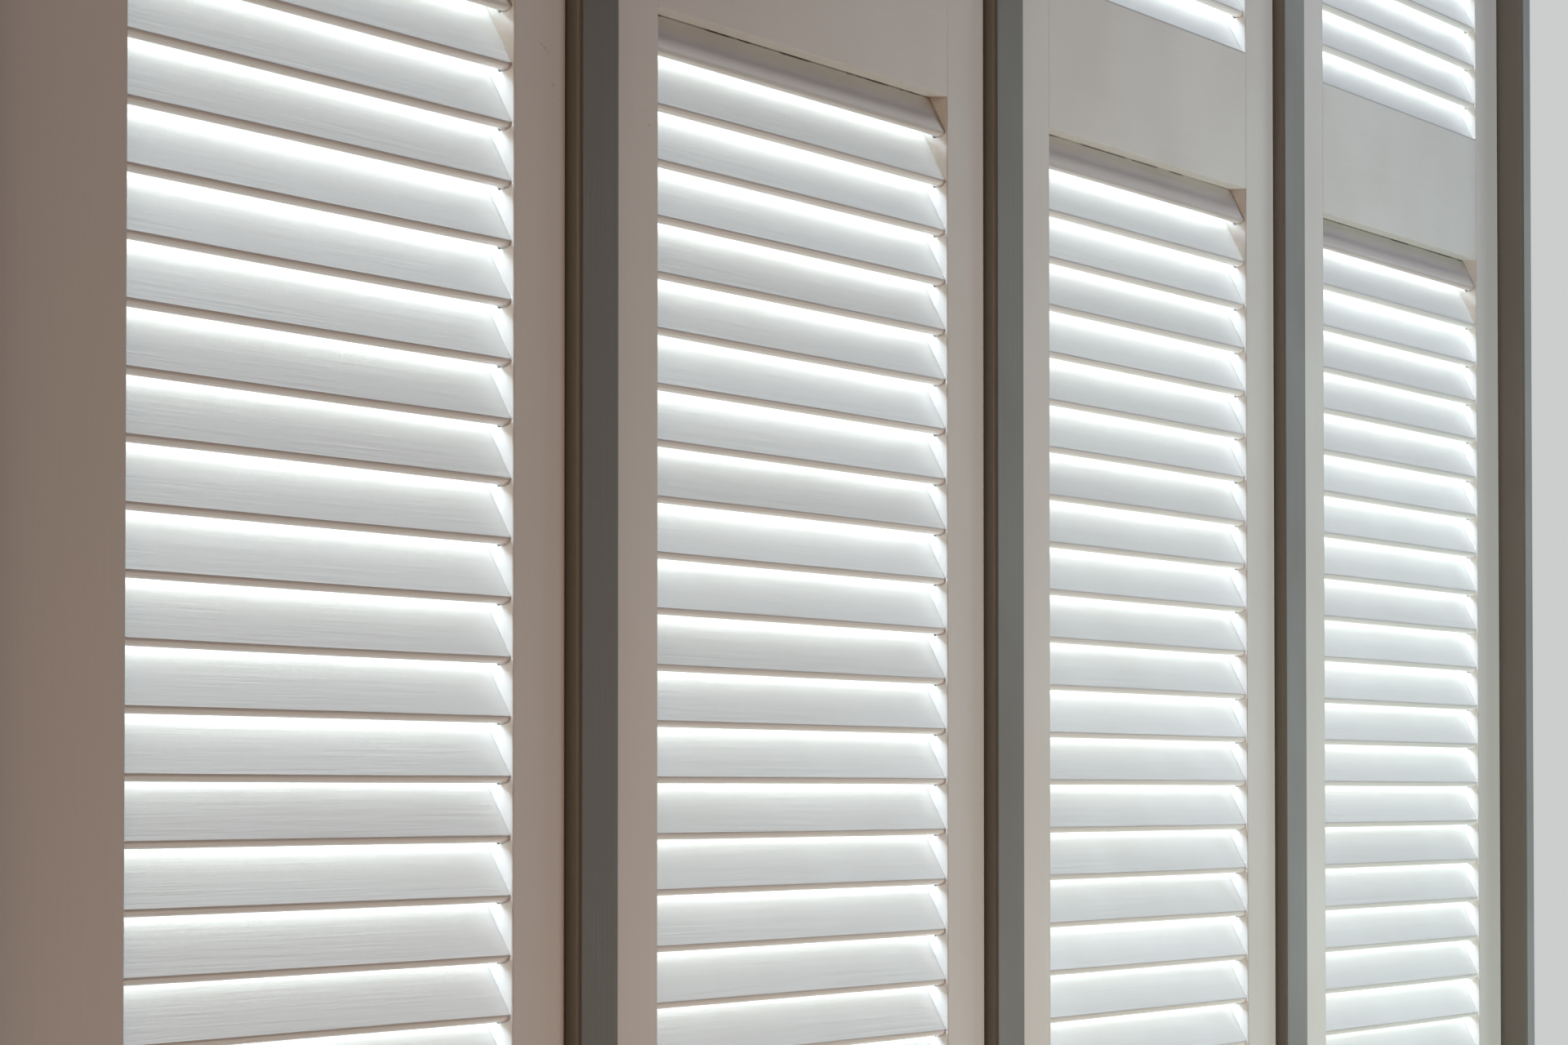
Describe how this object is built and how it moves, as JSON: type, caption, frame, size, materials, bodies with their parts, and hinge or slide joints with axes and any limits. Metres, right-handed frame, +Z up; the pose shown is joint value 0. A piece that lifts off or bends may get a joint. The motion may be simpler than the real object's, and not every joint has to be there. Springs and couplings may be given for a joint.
{
  "type": "louvred shutters",
  "caption": "Interior louvred shutter panels with fixed sloping slats, hinged side by side in a painted timber frame with posts between them.",
  "frame": {"origin": "middle of the frame's width, on the underside of the sill, in the plane of the closed panels' front faces", "axes": "+X to the right along the shutters as seen from the front, +Y from front to back, +Z up"},
  "size_m": [2.278, 0.0565, 1.2365],
  "materials": {
    "shutter_paint": "satin white paint",
    "frame_paint": "satin grey-brown paint",
    "hinge_steel": "plated, satin",
    "magnet": "nickel plated"
  },
  "bodies": {
    "frame": {"head": "frame_paint", "sill": "frame_paint", "left_jamb": "frame_paint", "right_jamb": "frame_paint", "post_1": "frame_paint", "post_2": "frame_paint", "post_3": "frame_paint", "catch_magnets": "magnet", "hinge_pins": "hinge_steel", "panel_1_lower_fixed_leaf": "hinge_steel", "panel_1_upper_fixed_leaf": "hinge_steel", "panel_2_lower_fixed_leaf": "hinge_steel", "panel_2_upper_fixed_leaf": "hinge_steel", "panel_3_lower_fixed_leaf": "hinge_steel", "panel_3_upper_fixed_leaf": "hinge_steel", "panel_4_lower_fixed_leaf": "hinge_steel", "panel_4_upper_fixed_leaf": "hinge_steel"},
    "panel_1": {"panel_1_left_stile": "shutter_paint", "panel_1_right_stile": "shutter_paint", "panel_1_bottom_rail": "shutter_paint", "panel_1_mid_rail": "shutter_paint", "panel_1_top_rail": "shutter_paint", "panel_1_lower_louvres": "shutter_paint", "panel_1_upper_louvres": "shutter_paint", "panel_1_lower_moving_leaf": "hinge_steel", "panel_1_upper_moving_leaf": "hinge_steel", "panel_1_strike_plate": "hinge_steel"},
    "panel_2": {"panel_2_left_stile": "shutter_paint", "panel_2_right_stile": "shutter_paint", "panel_2_bottom_rail": "shutter_paint", "panel_2_mid_rail": "shutter_paint", "panel_2_top_rail": "shutter_paint", "panel_2_lower_louvres": "shutter_paint", "panel_2_upper_louvres": "shutter_paint", "panel_2_lower_moving_leaf": "hinge_steel", "panel_2_upper_moving_leaf": "hinge_steel", "panel_2_strike_plate": "hinge_steel"},
    "panel_3": {"panel_3_left_stile": "shutter_paint", "panel_3_right_stile": "shutter_paint", "panel_3_bottom_rail": "shutter_paint", "panel_3_mid_rail": "shutter_paint", "panel_3_top_rail": "shutter_paint", "panel_3_lower_louvres": "shutter_paint", "panel_3_upper_louvres": "shutter_paint", "panel_3_lower_moving_leaf": "hinge_steel", "panel_3_upper_moving_leaf": "hinge_steel", "panel_3_strike_plate": "hinge_steel"},
    "panel_4": {"panel_4_left_stile": "shutter_paint", "panel_4_right_stile": "shutter_paint", "panel_4_bottom_rail": "shutter_paint", "panel_4_mid_rail": "shutter_paint", "panel_4_top_rail": "shutter_paint", "panel_4_lower_louvres": "shutter_paint", "panel_4_upper_louvres": "shutter_paint", "panel_4_lower_moving_leaf": "hinge_steel", "panel_4_upper_moving_leaf": "hinge_steel", "panel_4_strike_plate": "hinge_steel"}
  },
  "joints": [
    {"name": "panel_1_hinge", "type": "hinge", "parent": "frame", "child": "panel_1", "pos_m": [-1.1134, -0.0036, 0.61825], "axis": [0, 0, -1], "range_deg": [0, 110]},
    {"name": "panel_2_hinge", "type": "hinge", "parent": "frame", "child": "panel_2", "pos_m": [-0.4954, -0.0036, 0.61825], "axis": [0, 0, -1], "range_deg": [0, 170]},
    {"name": "panel_3_hinge", "type": "hinge", "parent": "frame", "child": "panel_3", "pos_m": [0.0766, -0.0036, 0.61825], "axis": [0, 0, -1], "range_deg": [0, 170]},
    {"name": "panel_4_hinge", "type": "hinge", "parent": "frame", "child": "panel_4", "pos_m": [0.6191, -0.0036, 0.61825], "axis": [0, 0, -1], "range_deg": [0, 170]}
  ]
}
